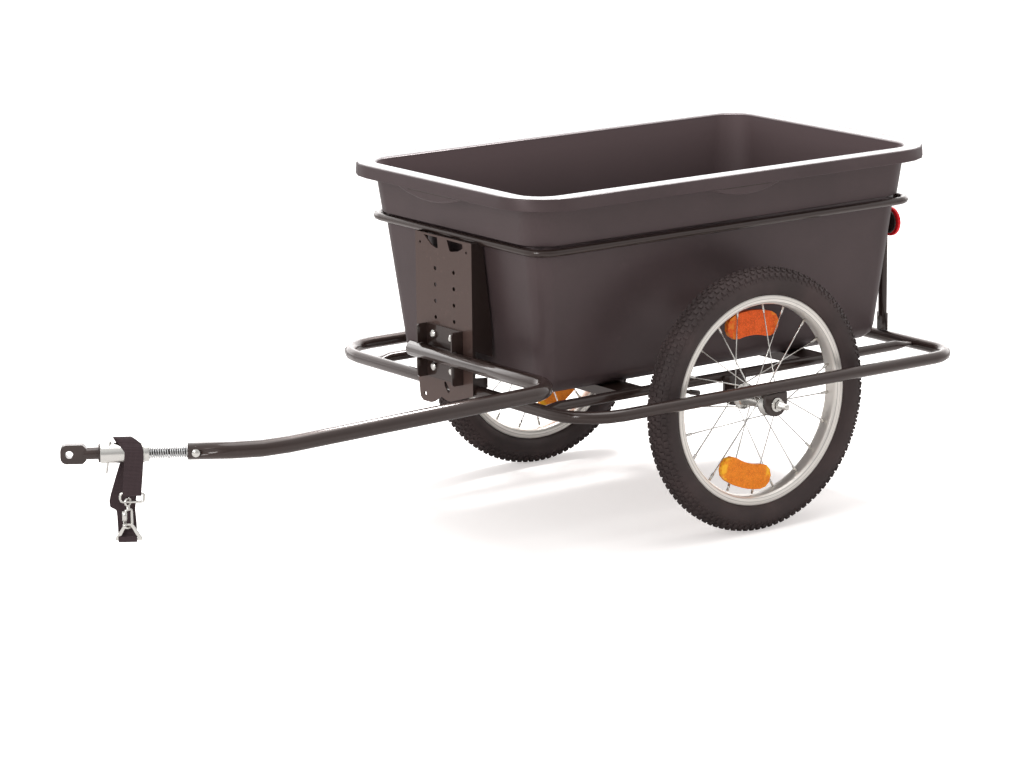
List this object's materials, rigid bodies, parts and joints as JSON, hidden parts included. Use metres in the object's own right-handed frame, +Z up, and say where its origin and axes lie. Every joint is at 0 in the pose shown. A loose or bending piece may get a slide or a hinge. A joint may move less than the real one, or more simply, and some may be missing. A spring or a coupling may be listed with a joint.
{
  "type": "bicycle cargo trailer",
  "caption": "Two-wheeled cargo trailer for a bicycle: a plastic tub held in a tube frame, with a bent drawbar and a sprung coupling with a safety strap.",
  "frame": {"origin": "middle of the footprint, on the ground under the tyres", "axes": "+X forward along the drawbar, +Y to the left wheel, +Z up"},
  "size_m": [1.5258, 0.692, 0.5352],
  "materials": {
    "black_paint": "glossy black powder coat",
    "tub_plastic": "fine matt grain",
    "tyre_rubber": "matt",
    "rim_alloy": "brushed",
    "bright_steel": "bright zinc or chrome",
    "dark_steel": "dark zinc",
    "black_plastic": "satin",
    "amber_lens": "glossy prism lens",
    "red_lens": "glossy prism lens",
    "webbing": "woven"
  },
  "bodies": {
    "frame": {"outer_frame": "black_paint", "upper_ring": "black_paint", "front_cross_member": "black_paint", "rear_cross_member": "black_paint", "front_plate": "black_paint", "drawbar_bracket": "black_paint", "drawbar": "black_paint", "bracket_bolt_1": "bright_steel", "bracket_bolt_2": "bright_steel", "bracket_bolt_3": "bright_steel", "bracket_bolt_4": "bright_steel", "drawbar_plug": "dark_steel", "coupling_cross_bolt": "bright_steel", "left_dropout_outer": "black_paint", "left_dropout_inner": "black_paint", "left_inner_rail": "black_paint", "left_rear_post": "black_paint", "left_rear_reflector_base": "black_plastic", "left_rear_reflector_lens": "red_lens", "left_axle": "bright_steel", "left_nut_in": "bright_steel", "left_nut_out": "bright_steel", "right_dropout_outer": "black_paint", "right_dropout_inner": "black_paint", "right_inner_rail": "black_paint", "right_rear_post": "black_paint", "right_rear_reflector_base": "black_plastic", "right_rear_reflector_lens": "red_lens", "right_axle": "bright_steel", "right_nut_in": "bright_steel", "right_nut_out": "bright_steel"},
    "left_wheel": {"left_tyre": "tyre_rubber", "left_rim": "rim_alloy", "left_hub_spokes": "bright_steel", "left_valve": "black_plastic", "left_reflector_in": "amber_lens", "left_reflector_out": "amber_lens", "left_bearing_in": "dark_steel", "left_bearing_out": "dark_steel"},
    "right_wheel": {"right_tyre": "tyre_rubber", "right_rim": "rim_alloy", "right_hub_spokes": "bright_steel", "right_valve": "black_plastic", "right_reflector_in": "amber_lens", "right_reflector_out": "amber_lens", "right_bearing_in": "dark_steel", "right_bearing_out": "dark_steel"},
    "tub": {"tub": "tub_plastic"},
    "coupling_core": {"spring_core": "dark_steel"},
    "coupling_head": {"coupling_spring": "bright_steel", "coupling_socket": "bright_steel"},
    "coupling_adapter": {"coupling_eye": "black_plastic", "coupling_washer": "black_plastic"},
    "locking_pin": {"locking_pin": "bright_steel"},
    "strap": {"safety_strap": "webbing", "strap_ring": "bright_steel", "snap_hook": "bright_steel", "strap_buckle": "bright_steel"},
    "snap_gate": {"snap_gate": "bright_steel"}
  },
  "joints": [
    {"name": "left_wheel_spin", "type": "hinge", "parent": "frame", "child": "left_wheel", "pos_m": [-0.36338, 0.274, 0.1995], "axis": [0, 1, 0], "continuous": true},
    {"name": "right_wheel_spin", "type": "hinge", "parent": "frame", "child": "right_wheel", "pos_m": [-0.36338, -0.274, 0.1995], "axis": [0, 1, 0], "continuous": true},
    {"name": "tub_lift", "type": "slide", "parent": "frame", "child": "tub", "axis": [0, 0, 1], "range_m": [0, 0.3]},
    {"name": "coupling_yaw", "type": "hinge", "parent": "frame", "child": "coupling_core", "pos_m": [0.63902, 0.24674, 0.2693], "axis": [0, 0, 1], "range_deg": [-20, 20], "stiffness_Nm_per_rad": 30, "deforming": ["spring_core"]},
    {"name": "coupling_pitch", "type": "hinge", "parent": "coupling_core", "child": "coupling_head", "pos_m": [0.63902, 0.24674, 0.2693], "axis": [0.5519, 0.8339, 0], "range_deg": [-20, 20], "stiffness_Nm_per_rad": 30, "deforming": ["coupling_spring"]},
    {"name": "adapter_roll", "type": "hinge", "parent": "coupling_head", "child": "coupling_adapter", "pos_m": [0.72274, 0.19132, 0.2693], "axis": [0.8339, -0.5519, 0], "continuous": true},
    {"name": "locking_pin_pull", "type": "slide", "parent": "coupling_head", "child": "locking_pin", "axis": [-0.1161, 0.0768, 0.9903], "range_m": [0, 0.035]},
    {"name": "strap_swing", "type": "hinge", "parent": "coupling_head", "child": "strap", "pos_m": [0.67688, 0.22168, 0.2693], "axis": [0.8339, -0.5519, 0], "range_deg": [-25, 25]},
    {"name": "snap_gate_slide", "type": "slide", "parent": "strap", "child": "snap_gate", "axis": [0, 0, 1], "range_m": [0, 0.0045], "stiffness_N_per_m": 300, "springref_m": -0.002}
  ]
}
